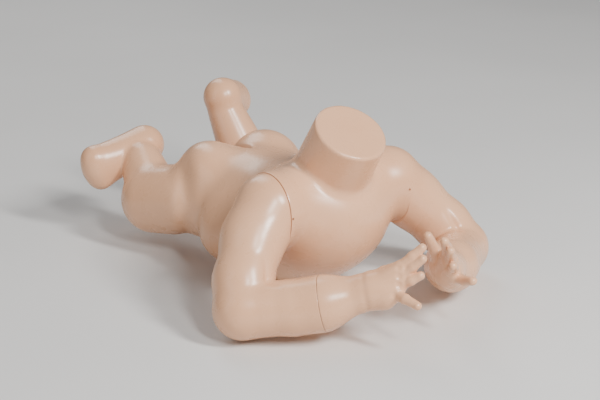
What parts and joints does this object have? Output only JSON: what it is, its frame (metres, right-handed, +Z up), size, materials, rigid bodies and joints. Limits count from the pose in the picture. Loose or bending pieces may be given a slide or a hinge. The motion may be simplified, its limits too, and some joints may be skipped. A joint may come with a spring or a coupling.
{
  "type": "full body mannequin",
  "caption": "Headless infant display mannequin lying on its belly, propped on its elbows with bent legs; keyed arms and hands pull off and the shoulders turn",
  "frame": {"origin": "on the floor under the centre of the bounding box", "axes": "+Z up, -Y towards the neck and the hands, +Y towards the feet, +X to the mannequin's own left"},
  "size_m": [0.334, 0.5058, 0.2035],
  "materials": {
    "body_lacquer": "satin skin-tone lacquer on a moulded fibreglass shell",
    "plywood": "bare birch plywood",
    "nylon": "natural nylon",
    "zinc_screws": "bright zinc-plated steel",
    "turned_steel": "turned steel",
    "plate_steel": "brushed steel plate"
  },
  "bodies": {
    "torso": {"left_friction_washer": "nylon", "left_leg_shell": "body_lacquer", "left_shoulder_block": "plywood", "left_shoulder_plate": "plate_steel", "left_shoulder_plate_screws": "zinc_screws", "left_shoulder_set_screw": "zinc_screws", "neck_cap": "body_lacquer", "right_friction_washer": "nylon", "right_leg_shell": "body_lacquer", "right_shoulder_block": "plywood", "right_shoulder_plate": "plate_steel", "right_shoulder_plate_screws": "zinc_screws", "right_shoulder_set_screw": "zinc_screws", "torso_shell": "body_lacquer"},
    "right_shoulder": {"right_hub_nut": "turned_steel", "right_shoulder_hub": "turned_steel"},
    "right_arm": {"right_arm_block": "plywood", "right_arm_peg_plate": "plate_steel", "right_arm_plate_screws": "zinc_screws", "right_arm_shell": "body_lacquer", "right_forearm_block": "plywood", "right_wrist_socket_plate": "plate_steel", "right_wrist_socket_screws": "zinc_screws"},
    "right_hand": {"right_hand": "body_lacquer", "right_hand_peg_plate": "plate_steel", "right_hand_plate_screws": "zinc_screws"},
    "left_shoulder": {"left_hub_nut": "turned_steel", "left_shoulder_hub": "turned_steel"},
    "left_arm": {"left_arm_block": "plywood", "left_arm_peg_plate": "plate_steel", "left_arm_plate_screws": "zinc_screws", "left_arm_shell": "body_lacquer", "left_forearm_block": "plywood", "left_wrist_socket_plate": "plate_steel", "left_wrist_socket_screws": "zinc_screws"},
    "left_hand": {"left_hand": "body_lacquer", "left_hand_peg_plate": "plate_steel", "left_hand_plate_screws": "zinc_screws"}
  },
  "joints": [
    {"name": "right_shoulder_turn", "type": "hinge", "parent": "torso", "child": "right_shoulder", "pos_m": [-0.077, -0.0699, 0.109], "axis": [-1, 0, 0], "range_deg": [-10, 60]},
    {"name": "right_arm_pull", "type": "slide", "parent": "right_shoulder", "child": "right_arm", "axis": [-1, 0, 0], "range_m": [0, 0.03]},
    {"name": "right_hand_pull", "type": "slide", "parent": "right_arm", "child": "right_hand", "axis": [0.7254, -0.6579, 0.2024], "range_m": [0, 0.016]},
    {"name": "left_shoulder_turn", "type": "hinge", "parent": "torso", "child": "left_shoulder", "pos_m": [0.077, -0.0699, 0.109], "axis": [-1, 0, 0], "range_deg": [-10, 60]},
    {"name": "left_arm_pull", "type": "slide", "parent": "left_shoulder", "child": "left_arm", "axis": [1, 0, 0], "range_m": [0, 0.03]},
    {"name": "left_hand_pull", "type": "slide", "parent": "left_arm", "child": "left_hand", "axis": [-0.7254, -0.6579, 0.2024], "range_m": [0, 0.016]}
  ]
}
